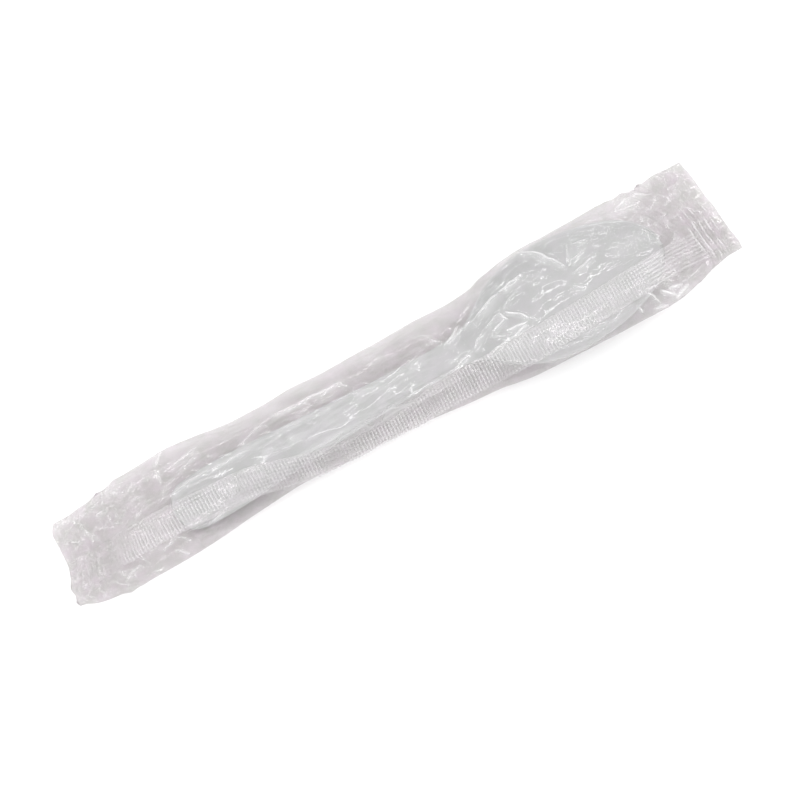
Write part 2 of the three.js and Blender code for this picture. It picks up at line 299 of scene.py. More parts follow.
fin_root = through([
    (-102, 0.2), (-86, 0.4), (-71, 0.5), (-57, -0.2), (-47, -0.8), (-36, -3.4), (-24, -6.4),
    (-8, -8.0), (1, -7.2), (9, -5.6), (16, -5.2), (34, -5.1), (51, -4.3), (63, -3.6), (80, -2.4),
    (92, -1.4), (102, -1.2),
])

# Samples round the tube: from the back seal down to the near side, under the pack, up to the seal.
NEAR_SIDE, BENEATH, FAR_SIDE = 42, 26, 82
AROUND = NEAR_SIDE + BENEATH + FAR_SIDE
HALF_TURN = 360  # steps in which each half of a section is measured
crimp_length = CRIMP_PITCH * CRIMP_LINES
stations = np.concatenate([
    np.linspace(-BAG_HALF_LENGTH, LEFT_SEAL_X - crimp_length, 5)[:-1],
    np.linspace(LEFT_SEAL_X - crimp_length, LEFT_SEAL_X, 33)[:-1],
    np.linspace(LEFT_SEAL_X, RIGHT_SEAL_X, 570)[:-1],
    np.linspace(RIGHT_SEAL_X, RIGHT_SEAL_X + crimp_length, 33)[:-1],
    np.linspace(RIGHT_SEAL_X + crimp_length, BAG_HALF_LENGTH, 5),
])


def bag_section(x):
    """The bag's outline across at x: (y, z) of AROUND + 1 points, and the length run along it."""
    turn = np.linspace(0, 2 * np.pi, 2 * HALF_TURN + 1)
    upper, lower, wide = upper_edge(x), lower_edge(x), widest(x)
    power = np.where(turn < np.pi, fullness(x), BOTTOM_POWER)
    across = np.sign(np.cos(turn)) * np.abs(np.cos(turn)) ** (2 / power)
    share = np.abs(np.sin(turn)) ** (2 / power)
    y = (upper + lower) / 2 + across * (upper - lower) / 2
    below = np.maximum(underside(x), wide - UNDERSIDE_OVERRUN * (wide - underside(x)) * share)
    z = np.where(turn < np.pi, wide + (crest(x) - wide) * share, below)
    run = np.concatenate([[0], np.cumsum(np.hypot(np.diff(y), np.diff(z)))])
    root = np.interp(-fin_root(x), -y[:HALF_TURN + 1], run[:HALF_TURN + 1])
    near, far = run[HALF_TURN], run[2 * HALF_TURN]
    wanted = np.concatenate([
        np.linspace(root, near, NEAR_SIDE + 1)[:-1],
        np.linspace(near, far, BENEATH + 1)[:-1],
        np.linspace(far, far + root, FAR_SIDE + 1),
    ])
    wrapped = wanted % far
    wrapped[NEAR_SIDE + BENEATH] = 0
    return np.interp(wrapped, run, y), np.interp(wrapped, run, z), wanted - root


sections = [bag_section(x) for x in stations]
bag_y = np.array([s[0] for s in sections])
bag_z = np.array([s[1] for s in sections])
bag_run = np.array([s[2] for s in sections])
bag_x = np.repeat(stations[:, None], AROUND + 1, 1)


def outward(y, z):
    """Unit (y, z) directions pointing out of the bag, square to its outline at each point."""
    along_y = np.gradient(y, axis=1)
    along_z = np.gradient(z, axis=1)
    along_y[:, 0] = along_y[:, -1] = y[:, 1] - y[:, -2]
    along_z[:, 0] = along_z[:, -1] = z[:, 1] - z[:, -2]
    size = np.maximum(np.hypot(along_y, along_z), 1e-6)
    return along_z / size, -along_y / size


def spoon_height(x, y):
    """Height of the spoon's upper face under a point of the pack, and -1 where there is no spoon."""
    away = y - SPOON_SIDE_STEP
    own_x = x * math.cos(SPOON_TURN) + away * math.sin(SPOON_TURN)
    own_y = away * math.cos(SPOON_TURN) - x * math.sin(SPOON_TURN)
    on_length = np.clip(own_x, HANDLE_END_X, SPOON_TIP_X)
    across = np.abs(own_y) / np.maximum(spoon_half_width(on_length), 0.01)
    on_spoon = (across < 1.06) & (np.abs(own_x - on_length) < 0.3)
    return np.where(on_spoon, spoon_top(on_length, np.minimum(across, 1)), -1)


def draped(z, least, upward):
    """Lets the film sag softly between the places where the spoon holds it up."""
    ring, held, on_top = z[:, :-1], least[:, :-1], upward[:, :-1] > 0.1
    for _ in range(DRAPE_PASSES):
        beside = (np.roll(ring, 1, 1) + np.roll(ring, -1, 1)) / 2
        ahead = np.concatenate([ring[:1], (ring[:-2] + ring[2:]) / 2, ring[-1:]])
        ring = np.where(on_top, np.maximum((beside + ahead) / 2, held), ring)
    return np.concatenate([ring, ring[:, :1]], 1)


out_y, out_z = outward(bag_y, bag_z)
bag_z = draped(bag_z, spoon_height(bag_x, bag_y) + DRAPE_CLEARANCE, out_z)
out_y, out_z = outward(bag_y, bag_z)


def cloud_noise(u, v, seed):
    """Smooth gradient noise of unit cells, from about -1 to 1."""
    rng = np.random.default_rng(seed)
    angles = rng.uniform(0, 2 * np.pi, (64, 64))
    iu, iv = np.floor(u).astype(int), np.floor(v).astype(int)
    fu, fv = u - iu, v - iv
    blend_u = fu**3 * (fu * (fu * 6 - 15) + 10)
    blend_v = fv**3 * (fv * (fv * 6 - 15) + 10)

    def corner(du, dv):
        angle = angles[(iu + du) % 64, (iv + dv) % 64]
        return np.cos(angle) * (fu - du) + np.sin(angle) * (fv - dv)

    low = corner(0, 0) * (1 - blend_u) + corner(1, 0) * blend_u
    high = corner(0, 1) * (1 - blend_u) + corner(1, 1) * blend_u
    return 1.5 * (low * (1 - blend_v) + high * blend_v)


def ridged(u, v, seed):
    """Sharp-crested noise of unit cells: 1 on its creases and about 0 between them."""
    return 1 - 2 * np.abs(cloud_noise(u, v, seed))


def crease(x, y, start, end, height, steep, gentle):
    """A straight fold, steep on its left side and fading at its ends: its height, and its whiteness, which
    is a painted highlight along its crest and painted light over its gentle side.
    """
    start, end = np.array(start, float), np.array(end, float)
    length = np.hypot(*(end - start))
    way = (end - start) / length
    along = ((x - start[0]) * way[0] + (y - start[1]) * way[1]) / length
    aside = (y - start[1]) * way[0] - (x - start[0]) * way[1]
    reach = np.where(aside > 0, steep, gentle)
    flank = np.clip(1 - (np.sqrt(aside**2 + 0.02) - 0.14) / reach, 0, 1)
    fade = np.clip(1 - np.abs(2 * along - 1) ** 3, 0, 1)
    # The whiteness is painted highlight: a thin bright line on the crest and weaker painted light over the
    # gentle side, standing in for the glints a fold catches.
    whiteness = np.clip((abs(height) - GLINT_PAINT_FROM) / GLINT_PAINT_OVER, 0, 1.5)
    crest = np.clip(1 - np.abs(aside + 0.05) / CREST_GLINT_REACH, 0, 1)
    facet = np.clip(1 + aside / (1.3 * gentle), 0, 1) * (aside < 0)
    return FOLD_SHARE * height * fade * flank**1.3, whiteness * fade * np.maximum(crest, PAINTED_FACET_SHARE * facet)


# Folds that stand out on the bag's top: from, to, height, and how far each side of the fold reaches.
FOLDS = [
    # round the handle end's seal
    ((-93.2, 6.1), (-90.3, 1.5), 0.5, 0.8, 1.6),
    ((-89.5, 7.6), (-84.6, 8.2), 0.5, 0.7, 1.4),
    ((-85.0, 8.0), (-85.4, 0.9), 0.5, 0.8, 1.5),
    ((-99.0, -6.4), (-97.0, -8.6), 0.4, 0.7, 1.2),
    ((-88.5, -11.6), (-82.0, -10.3), 0.8, 0.9, 1.6),
    ((-90.0, -8.0), (-84.0, -11.8), 0.5, 0.8, 1.4),
    ((-82.4, -5.4), (-79.4, -12.0), 0.45, 0.6, 1.2),
    ((-76.0, -9.8), (-70.0, -7.4), 0.6, 0.7, 1.5),
    ((-70.6, -7.4), (-67.0, -10.8), 0.6, 0.7, 1.3),
    ((-72.5, -10.6), (-68.2, -13.4), 0.6, 0.7, 1.2),
    # over the handle
    ((-83.0, 10.6), (-76.0, 8.3), 0.5, 0.7, 1.8),
    ((-78.0, 6.6), (-72.0, 5.8), 0.35, 0.7, 1.6),
    ((-63.0, 15.0), (-66.4, 10.2), 0.7, 0.9, 1.5),
    ((-66.2, 11.0), (-67.6, 6.2), 0.6, 0.8, 1.5),
    ((-65.0, 8.6), (-53.6, 10.6), 0.55, 0.6, 1.6),
    ((-63.0, 6.9), (-54.0, 9.2), 0.45, 0.6, 1.2),
    ((-61.5, -9.6), (-53.6, -7.7), 0.7, 0.6, 1.4),
    ((-69.0, 2.9), (-54.0, 3.4), 0.5, 0.4, 1.0),
    ((-56.0, 3.2), (-41.0, 2.8), 0.5, 0.4, 1.0),
    ((-62.0, 1.5), (-49.0, 1.9), 0.3, 0.4, 0.9),
    ((-36.0, 3.2), (-20.0, 2.9), 0.25, 0.4, 0.9),
    ((-46.0, 4.1), (-34.0, 8.6), 0.55, 0.6, 1.4),
    ((-38.6, 1.4), (-33.0, 2.4), 0.35, 0.6, 1.2),
    ((-33.0, 8.3), (-19.5, 7.0), 0.6, 0.7, 1.8),
    ((-23.0, 7.6), (-10.4, 6.7), 0.7, 0.7, 1.6),
    ((-21.0, 5.6), (-12.0, 7.4), 0.5, 0.6, 1.2),
    ((-13.0, 7.0), (-9.6, 4.2), 0.5, 0.6, 1.2),
    # where the film comes up over the bowl's shoulder
    ((14.6, 6.5), (17.6, 3.1), 0.6, 0.6, 1.4),
    ((13.0, 8.2), (16.4, 6.0), 0.4, 0.6, 1.3),
    ((17.2, 1.6), (24.2, 5.1), 1.0, 0.7, 2.2),
    ((18.2, 0.8), (21.6, 3.0), 0.7, 0.6, 1.3),
    ((24.0, 3.0), (27.4, 5.8), 0.7, 0.7, 2.4),
    ((26.6, 5.3), (38.4, 8.2), 0.8, 0.8, 2.8),
    ((37.2, 7.9), (45.2, 9.5), 0.9, 0.7, 2.0),
    ((44.2, 8.6), (45.4, 9.9), 1.2, 0.6, 1.0),
    ((14.6, -4.9), (23.8, -2.4), 0.7, 0.7, 1.8),
    ((23.6, -2.6), (28.6, 1.4), 0.6, 0.7, 2.0),
    ((28.0, 1.2), (35.6, 3.7), 0.6, 0.7, 1.8),
    ((35.0, 3.5), (41.8, 6.4), 0.5, 0.7, 1.6),
    ((30.3, -0.7), (35.8, 1.0), 0.9, 0.7, 1.4),
    ((35.0, 3.4), (35.9, 0.2), 1.3, 0.7, 1.5),
    ((36.3, 3.0), (39.5, 0.2), 1.2, 0.6, 1.1),
    ((39.1, 0.8), (41.1, -2.6), 1.2, 0.6, 1.3),
    ((40.8, -2.3), (44.2, -4.1), 0.5, 0.7, 1.3),
    ((33.4, -2.4), (41.0, -3.1), 1.0, 0.6, 1.2),
    ((30.2, -2.1), (33.9, -3.8), 0.5, 0.6, 1.1),
    ((26.0, -5.4), (34.2, -4.6), 0.9, 0.5, 1.4),
    ((33.4, -4.6), (40.8, -3.8), 0.9, 0.5, 1.4),
    ((30.4, -0.6), (30.2, -2.4), 0.4, 0.6, 1.0),
    # over the bowl
    ((47.6, 16.2), (57.6, 5.4), 0.8, 0.7, 2.0),
    ((57.8, 5.2), (60.5, 11.6), 0.5, 0.6, 1.6),
    ((57.0, 3.0), (65.0, 5.4), 0.6, 0.7, 1.6),
    ((58.0, 6.2), (64.0, 7.6), 0.4, 0.6, 1.2),
    ((55.6, -0.2), (59.6, -1.8), 0.5, 0.6, 1.2),
    ((61.6, 10.0), (66.5, 9.4), 0.5, 0.6, 1.2),
    ((45.0, 6.0), (52.0, 7.2), 0.25, 0.9, 1.6),
    # along the bowl's near side
    ((39.0, -12.4), (51.0, -14.6), 0.4, 0.6, 1.6),
    ((45.0, -12.9), (57.0, -14.4), 0.35, 0.5, 1.2),
    ((50.0, -12.6), (66.0, -13.4), 0.4, 0.6, 1.6),
    ((55.0, -14.7), (69.0, -12.6), 0.35, 0.5, 1.4),
    # between the bowl's tip and its seal
    ((75.0, 11.8), (83.0, 15.2), 0.6, 0.7, 1.6),
    ((82.0, 15.0), (90.0, 13.0), 0.6, 0.7, 1.6),
    ((76.0, 11.6), (85.5, 12.8), 0.5, 0.6, 1.4),
    ((85.0, 8.6), (90.2, 12.8), 0.6, 0.7, 1.5),
    ((84.0, 4.0), (90.0, 6.6), 0.4, 0.8, 1.5),
    ((76.0, -12.0), (80.6, -14.9), 1.3, 0.8, 1.4),
    ((79.4, -15.4), (84.6, -13.6), 1.3, 0.8, 1.2),
    ((78.4, -12.4), (83.2, -13.2), 1.1, 0.7, 1.2),
    ((72.8, -10.6), (75.4, -15.8), 0.9, 0.7, 1.3),
    ((72.0, -15.6), (77.0, -16.4), 0.9, 0.6, 0.9),
    ((68.6, -13.2), (69.2, -15.4), 0.9, 0.6, 0.9),
    ((60.0, -13.2), (67.6, -11.2), 0.5, 0.6, 1.3),
    ((82.0, -12.8), (92.0, -10.8), 0.6, 0.8, 1.5),
]
GLINT_PAINT_FROM, GLINT_PAINT_OVER = 0.1, 0.75  # a fold's painted crest highlight starts at this height, and grows over this much more
STRAY_FOLDS = 160
STRAY_AT_ENDS = 0.66  # the share of the stray folds that lie near a seal
FOLD_SHARE = 0.7  # how much of its full height a fold keeps once the film has relaxed
CREST_GLINT_REACH = 0.4  # half the width of the painted highlight line along a fold's crest
PAINTED_FACET_SHARE = 0.42  # how strong the painted light on the gentle side of a fold is, against the painted highlight on its crest


def stray_folds(rng):
    """Small folds scattered over the top, thicker near the seals, most of them running lengthwise."""
    for _ in range(STRAY_FOLDS):
        near_end = rng.random() < STRAY_AT_ENDS
        x = rng.choice([-1, 1]) * rng.triangular(70, 88, 93) if near_end else rng.uniform(-75, 78)
        y = rng.uniform(lower_edge(x) + 1.5, upper_edge(x) - 1.5)
        angle = rng.normal(0, 0.9 if near_end else 0.45)
        length = rng.uniform(2.5, 7) if near_end else rng.uniform(4, 12)
        step = np.array([np.cos(angle), np.sin(angle)]) * length / 2
        height = rng.uniform(0.12, 0.32) * rng.choice([1, -1], p=[0.7, 0.3])
        yield (x, y) - step, (x, y) + step, height, rng.uniform(0.5, 1.2), rng.uniform(0.9, 2.4)


WAVE_HEIGHT = 0.5  # slow wave across the flat ends
WAVE_SPREAD = 3.2
WAVE_REACH = 4
WAVE_STILL_Y = 6.8  # where the handle end's wave crosses its middle height


def seal_ripple(x, y):
    """Crimp lines on a slow wave, for x measured where the end is cut square."""
    into = np.maximum(LEFT_SEAL_X - x, x - RIGHT_SEAL_X)
    ends = ease(into, 0, 0.6) * (1 - ease(into, crimp_length - 0.6, crimp_length))
    crimp = np.sin(2 * np.pi * into / CRIMP_PITCH) * ends
    strength = np.where(x > 0, 0.35 + 0.65 * (1 - ease(y, 3, 7)), 0.35)
    from_still = y - np.where(x < 0, WAVE_STILL_Y, 0)
    slow = WAVE_HEIGHT * np.clip(into / WAVE_REACH, 0, 1) * np.sin(from_still / WAVE_SPREAD)
    return np.where(into > 0, CRIMP_HEIGHT * strength * crimp + slow, 0)


# How far each kind of unevenness stands out, and how white it is, along the bag and near its seals. The
# white of the thin hairs, streaks and gathered lines is painted highlight, the white over the bowl and in
# the gap beside the handle is painted light, and the patches are the film's uneven haze.
SWELL, SMALL_SWELL = 0.5, 0.2
GATHER = 0.75
CRUMPLE, SEAL_CRUMPLE = 0.07, 0.3
CRINKLE, SEAL_CRINKLE = 0.05, 0.12
HAIR_GLINT_PAINT, SEAL_HAIR_GLINT_PAINT = 0.08, 0.3
STREAK_GLINT_PAINT = 0.19
PATCH_WHITE = 0.1
GATHER_GLINT_PAINT = 0.3
GAP_LIGHT_PAINT = 0.4
BOWL_LIGHT_PAINT = 0.12
TAUT_LOSS, TAUT_CRINKLE_LOSS = 0.05, 0.035  # what the tightly drawn stretch over the handle lacks


def bag_relief(x, y, run, upward):
    """How far the film stands out from the smooth bag, and how white it is on top: uneven haze, painted
    highlights along its folds, crinkles and streaks, and painted light over the bowl and in the gap beside
    the handle.
    """
    inside = np.minimum(x - LEFT_SEAL_X, RIGHT_SEAL_X - x)
    near_seal = 1 - ease(inside, 4, 26)
    swell = SWELL * cloud_noise(x / 26 + 3, run / 7, 1) + SMALL_SWELL * cloud_noise(x / 11, run / 3.6, 2)
    gather = GATHER * ridged(x / 60 + 9, run / 3.4, 3) * ease(inside, 0, 7) * (1 - ease(inside, 9, 30))
    taut = ease(x, -50, -36) * (1 - ease(x, 4, 16))
    crumple = (CRUMPLE + SEAL_CRUMPLE * near_seal - TAUT_LOSS * taut) * ridged(x / 7.5, run / 4.2 + 7, 4)
    crinkle = (CRINKLE + SEAL_CRINKLE * near_seal - TAUT_CRINKLE_LOSS * taut) * ridged(x / 4.4, run / 1.7, 5)
    relief = swell + gather + crumple + crinkle
    bent_x = x + 0.8 * cloud_noise(x / 7, y / 6, 31) + 0.3 * cloud_noise(x / 2.6, y / 2.3, 32)
    bent_y = y + 0.8 * cloud_noise(x / 8, y / 7, 33) + 0.3 * cloud_noise(x / 2.4, y / 2.7, 34)
    folds = np.zeros_like(x)
    white = np.zeros_like(x)
    rng = np.random.default_rng(11)
    for fold in [*FOLDS, *stray_folds(rng)]:
        height, crest = crease(bent_x, bent_y, *fold)
        folds += height
        white = np.maximum(white, crest)
    # Painted highlights: thin bright crinkle lines, stronger near the seals.
    painted_hair_glints = ease(ridged(bent_x / 5.5, bent_y / 2.6, 35), 0.75, 1)
    painted_hair_glints *= HAIR_GLINT_PAINT + SEAL_HAIR_GLINT_PAINT * near_seal - TAUT_LOSS * taut
    painted_hair_glints *= ease(cloud_noise(x / 9, y / 6, 36), -0.2, 0.4)
    # Painted highlights: long thin bright streaks along the handle's stretch.
    painted_streak_glints = ease(ridged(bent_x / 19, bent_y / 1.6, 37), 0.45, 1) * STREAK_GLINT_PAINT
    painted_streak_glints *= (1 - ease(x, 5, 25)) * (1 - near_seal)
    # Painted light: the film over the bowl is lightened.
    painted_bowl_light = BOWL_LIGHT_PAINT * ease(x, 36, 46) * (1 - ease(x, 80, 87))
    patchy = cloud_noise(x / 9, y / 5, 38) + 0.5 * cloud_noise(x / 3, y / 2.2, 39)
    patches = PATCH_WHITE * ease(patchy, 0, 0.8)
    # Painted highlights: bright gathered crinkles near the seals.
    painted_gather_glints = ease(ridged(bent_x / 3.4, bent_y / 2.4, 40), 0.72, 1) * GATHER_GLINT_PAINT * near_seal
    # Painted light: lightens the shade on the near side between the handle and the back seal.
    painted_gap_light = GAP_LIGHT_PAINT * ease(x, -34, -24) * (1 - ease(x, 12, 20))
    painted_gap_light *= ease(-y, 4.2, 5.4) * (1 - ease(-y, 7.6, 8.8))
    on_top = ease(upward, 0.05, 0.4)
    level = np.abs(upward)
    at_sides = 0.3 + 0.7 * ease(level, 0.1, 0.6) - 0.2 * near_seal * (1 - ease(level, 0.1, 0.4))
    whiteness = white + painted_hair_glints + painted_streak_glints + patches + painted_gather_glints + painted_gap_light + painted_bowl_light
    return (relief * at_sides + folds * on_top) * ease(inside, 0, 5), whiteness * on_top


relief, bag_haze_and_painted_light = bag_relief(bag_x, bag_y, bag_run, out_z)
FIN_COVER = 9.5  # how far round the bag from its join the film is calmed by the back seal on it
FIN_CALM = 0.65  # the share of its unevenness that the film loses there
BENEATH_SHARE = 0.35  # the share of it that is left on the underside, where the pack lies on it
relief *= 1 - FIN_CALM * ease(FIN_COVER - bag_run, 0, 1.5)
from_beneath = (np.arange(AROUND + 1) > NEAR_SIDE) & (np.arange(AROUND + 1) < NEAR_SIDE + BENEATH)
relief = np.where(from_beneath, -BENEATH_SHARE * np.abs(relief), relief)
off_join = ease(bag_run[:, -1:] - bag_run, 0, 4)
relief = relief * off_join + relief[:, :1] * (1 - off_join)
bag_y = bag_y + out_y * relief
bag_z = bag_z + out_z * relief


# The film lies over the spoon above it, and stays under the bowl and on the table below it.
over_spoon = np.where(out_z > 0.1, spoon_height(bag_x, bag_y) + FILM_CLEARANCE, -1)
spare = bag_z - over_spoon
# Painted highlight, with some real pressed haze: the film is whitened where it lies pressed on the spoon
# from the bowl's shoulder on, lightening the bowl's rim and tip.
bag_haze_and_painted_light = bag_haze_and_painted_light + RIM_HAZE_AND_LIGHT_PAINT * (1 - ease(spare, 0.1, 1.4)) * ease(bag_x, 14, 34)
bag_z = over_spoon + (spare + np.sqrt(spare**2 + 0.04)) / 2
room_below = np.where(spoon_height(bag_x, bag_y) > 0, spoon_height(bag_x, bag_y) - SPOON_WALL - 0.2, 9)
bag_z = np.where(from_beneath, np.minimum(bag_z, np.maximum(room_below, 0.05)), bag_z)


def to_cut_ends(x, y):
    """Moves a point near either end along the pack, so that the end follows its cut."""
    left = ease(-x, CUT_REACH_X, BAG_HALF_LENGTH) * (left_cut(y) + BAG_HALF_LENGTH)
    right = ease(x, CUT_REACH_X, BAG_HALF_LENGTH) * (right_cut(y) - BAG_HALF_LENGTH)
    return x + left + right


def crimp_white_and_glint_paint(x, y):
    """How white the pressed lines of the two end seals are, partly the pressed film's whitening and partly a
    painted highlight for the crimp lines' glints; most of the upper part has slackened.
    """
    into = np.maximum(LEFT_SEAL_X - x, x - RIGHT_SEAL_X)
    line = np.clip(np.cos(2 * np.pi * (into / CRIMP_PITCH - 0.25)), 0, 1) ** 1.3
    ends = ease(into, -0.4, 0.2) * (1 - ease(into, crimp_length - 0.6, crimp_length))
    strength = np.where(x > 0, 0.15 + 0.6 * (1 - ease(y, 3, 6)) * ease(y, -11, -9), 0.2)
    patchy = ease(cloud_noise(x / 3, y / 3.5, 41), -0.6, 0.4)
    return line * ends * strength * patchy


def seal_crumple(x, y):
    """The rumples of the flat ends, which both layers share and which die out inside the bag."""
    into = np.maximum(LEFT_SEAL_X - x, x - RIGHT_SEAL_X)
    share = ease(into, -5, 1) * np.where(x < 0, 1, 0.55)
    rumple = 0.5 * cloud_noise(x / 6.5, y / 5.5, 21) + 0.3 * ridged(x / 7 + 5, y / 5, 22)
    return share * (rumple + 0.2 * ridged(x / 3.1, y / 2.3, 23))


crimp_white_and_glints = crimp_white_and_glint_paint(bag_x, bag_y)
# The crimp lines' white, partly painted highlight, goes on the bag's upper layer.
bag_haze_and_painted_light = bag_haze_and_painted_light + crimp_white_and_glints * (out_z > 0)
in_seal = np.maximum(LEFT_SEAL_X - bag_x, bag_x - RIGHT_SEAL_X) > 0
LAYER_SPREAD = 0.08  # how far each layer of a flat end stands off the seal's middle
TABLE_GAP = 0.04
layers = np.where(in_seal, LAYER_SPREAD * out_z, 0)
bag_z = bag_z + seal_ripple(bag_x, bag_y) + seal_crumple(bag_x, bag_y) + layers
bag_z = np.maximum(bag_z, TABLE_GAP)

bag, bag_u, bag_v = sheet_grid("film_bag", len(stations) - 1, AROUND)
row = np.rint(bag_u * (len(stations) - 1)).astype(int)
column = np.rint(bag_v * AROUND).astype(int)
place_points(bag, to_cut_ends(bag_x, bag_y)[row, column], bag_y[row, column], bag_z[row, column])


def keep_values(piece, name, values):
    """Stores one number a point on the piece, for its material to read."""
    piece.data.attributes.new(name, "FLOAT", "POINT").data.foreach_set("value", values)


# The bag's whiteness, its haze with painted highlights and painted light, is kept for its material.
keep_values(bag, "film_haze_and_painted_light", bag_haze_and_painted_light[row, column])
bpy.ops.object.mode_set(mode="EDIT")
bpy.ops.mesh.select_all(action="SELECT")
bpy.ops.mesh.remove_doubles(threshold=0.0005 * MM)
bpy.ops.mesh.fill_holes(sides=0)
bpy.ops.mesh.normals_make_consistent(inside=False)
bpy.ops.object.mode_set(mode="OBJECT")
bpy.ops.object.shade_smooth()


FILM_FACES_IN_LINE = 24  # a ray to the floor and on to a light meets this many faces of film at most
bpy.context.scene.cycles.transparent_max_bounces = FILM_FACES_IN_LINE

FACING_GLOSS = 0.06  # share of light that the film mirrors when it faces the eye
GRAZING_GLOSS = 0.25  # how much more it mirrors edge on


def clear_film(name, pale, deep, haze, roughness, white_name, white_share):
    """Clear film: its two tints, its milky haze, its gloss, and the values that tell where it whitens, which
    carry painted highlights and painted light as well as haze.
    """
    material, nodes, links = new_material(name)
    out = nodes.new("ShaderNodeOutputMaterial")
    where = nodes.new("ShaderNodeTexCoord")
    cloud = nodes.new("ShaderNodeTexNoise")
    cloud.inputs["Scale"].default_value = 330
    cloud.inputs["Detail"].default_value = 5
    cloud.inputs["Roughness"].default_value = 0.6
    tint = nodes.new("ShaderNodeValToRGB")
    tint.color_ramp.elements[0].position = 0.38
    tint.color_ramp.elements[0].color = (*deep, 1)
    tint.color_ramp.elements[1].position = 0.62
    tint.color_ramp.elements[1].color = (*pale, 1)
    through_film = nodes.new("ShaderNodeBsdfTransparent")
    milky_and_painted_white = nodes.new("ShaderNodeBsdfDiffuse")
    milky_and_painted_white.inputs["Color"].default_value = (0.9, 0.9, 0.9, 1)
    whitened = nodes.new("ShaderNodeAttribute")
    whitened.attribute_name = white_name
    white = nodes.new("ShaderNodeMath")
    white.operation = "MULTIPLY_ADD"
    white.inputs[1].default_value = white_share
    white.inputs[2].default_value = haze
    body = nodes.new("ShaderNodeMixShader")
    gloss = nodes.new("ShaderNodeBsdfGlossy")
    gloss.inputs["Roughness"].default_value = roughness
    gloss.inputs["Color"].default_value = (1, 1, 1, 1)
    facing = nodes.new("ShaderNodeLayerWeight")
    facing.inputs["Blend"].default_value = 0.5
    steeper = nodes.new("ShaderNodeMath")
    steeper.operation = "POWER"
    steeper.inputs[1].default_value = 4
    edge = nodes.new("ShaderNodeMath")
    edge.operation = "MULTIPLY_ADD"
    edge.inputs[1].default_value = GRAZING_GLOSS
    edge.inputs[2].default_value = FACING_GLOSS
    film = nodes.new("ShaderNodeMixShader")
    crinkle = nodes.new("ShaderNodeTexNoise")
    crinkle.inputs["Scale"].default_value = 380
    crinkle.inputs["Detail"].default_value = 4
    bump = nodes.new("ShaderNodeBump")
    bump.inputs["Strength"].default_value = 0.5
    bump.inputs["Distance"].default_value = 0.12 * MM
    links.new(where.outputs["Object"], cloud.inputs["Vector"])
    links.new(where.outputs["Object"], crinkle.inputs["Vector"])
    links.new(cloud.outputs["Fac"], tint.inputs["Fac"])
    links.new(tint.outputs["Color"], through_film.inputs["Color"])
    links.new(crinkle.outputs["Fac"], bump.inputs["Height"])
    links.new(bump.outputs["Normal"], gloss.inputs["Normal"])
    links.new(bump.outputs["Normal"], facing.inputs["Normal"])
    links.new(facing.outputs["Facing"], steeper.inputs[0])
    links.new(steeper.outputs["Value"], edge.inputs[0])
    links.new(whitened.outputs["Fac"], white.inputs[0])
    links.new(white.outputs["Value"], body.inputs["Fac"])
    links.new(through_film.outputs["BSDF"], body.inputs[1])
    links.new(milky_and_painted_white.outputs["BSDF"], body.inputs[2])
    links.new(edge.outputs["Value"], film.inputs["Fac"])
    links.new(body.outputs["Shader"], film.inputs[1])
    links.new(gloss.outputs["BSDF"], film.inputs[2])
    links.new(film.outputs["Shader"], out.inputs["Surface"])
    return material


FILM_PALE = (0.824, 0.797, 0.816)
FILM_DEEP = (0.774, 0.77, 0.762)
film_finish = clear_film("clear_film", FILM_PALE, FILM_DEEP, 0.03, 0.1, "film_haze_and_painted_light", 0.5)
bag.data.materials.append(film_finish)
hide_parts("film_wrapper")
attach(bag, "root")


# ---- Back seal ----
# The two long edges of the film, sealed face to face by a knurled wheel and laid over onto the bag:
# a band with fine ribs across it and lines along it, which runs on through both end seals.
FIN_WIDTH = 8.6
FIN_WALL = 0.07
RIB_PITCH = 0.98
LINE_PITCH = 1.05
RIB_HEIGHT = 0.13
LINE_HEIGHT = 0.09
FIN_ALONG = 1300
FIN_ACROSS = 36

fin, fin_u, fin_v = sheet_grid("back_seal", FIN_ALONG, FIN_ACROSS)
fin_stations = np.linspace(-BAG_HALF_LENGTH, BAG_HALF_LENGTH, FIN_ALONG + 1)
fin_reach = np.linspace(0, FIN_WIDTH, FIN_ACROSS + 1)
near_side = slice(0, NEAR_SIDE + 1)


def along_stations(values):
    """Values on the bag's stations, read off between them at the back seal's own stations."""
    return np.array([np.interp(fin_stations, stations, column) for column in values.T]).T


def ease_out(values, times):
    """Evens values out along the pack, because the stiff band bridges the film's small folds."""
    for _ in range(times):
        values = np.concatenate([values[:1], (values[:-2] + 2 * values[1:-1] + values[2:]) / 4, values[-1:]])
    return values


under_y = along_stations(ease_out(bag_y[:, near_side], 12))
under_z = along_stations(ease_out(bag_z[:, near_side], 12))
crisp_z = along_stations(bag_z[:, near_side])
steps_y, steps_z = np.diff(under_y, axis=1), np.diff(under_z, axis=1)
under_run = np.concatenate([np.zeros((len(fin_stations), 1)), np.cumsum(np.hypot(steps_y, steps_z), 1)], 1)
square_y, square_z = outward(under_y, under_z)
square_y[:, 0], square_z[:, 0] = square_y[:, 1], square_z[:, 1]


def on_bag(values):
    """Values on the bag beside the band, read off at the band's own steps away from its root."""
    return np.array([np.interp(fin_reach, run, row) for run, row in zip(under_run, values)])


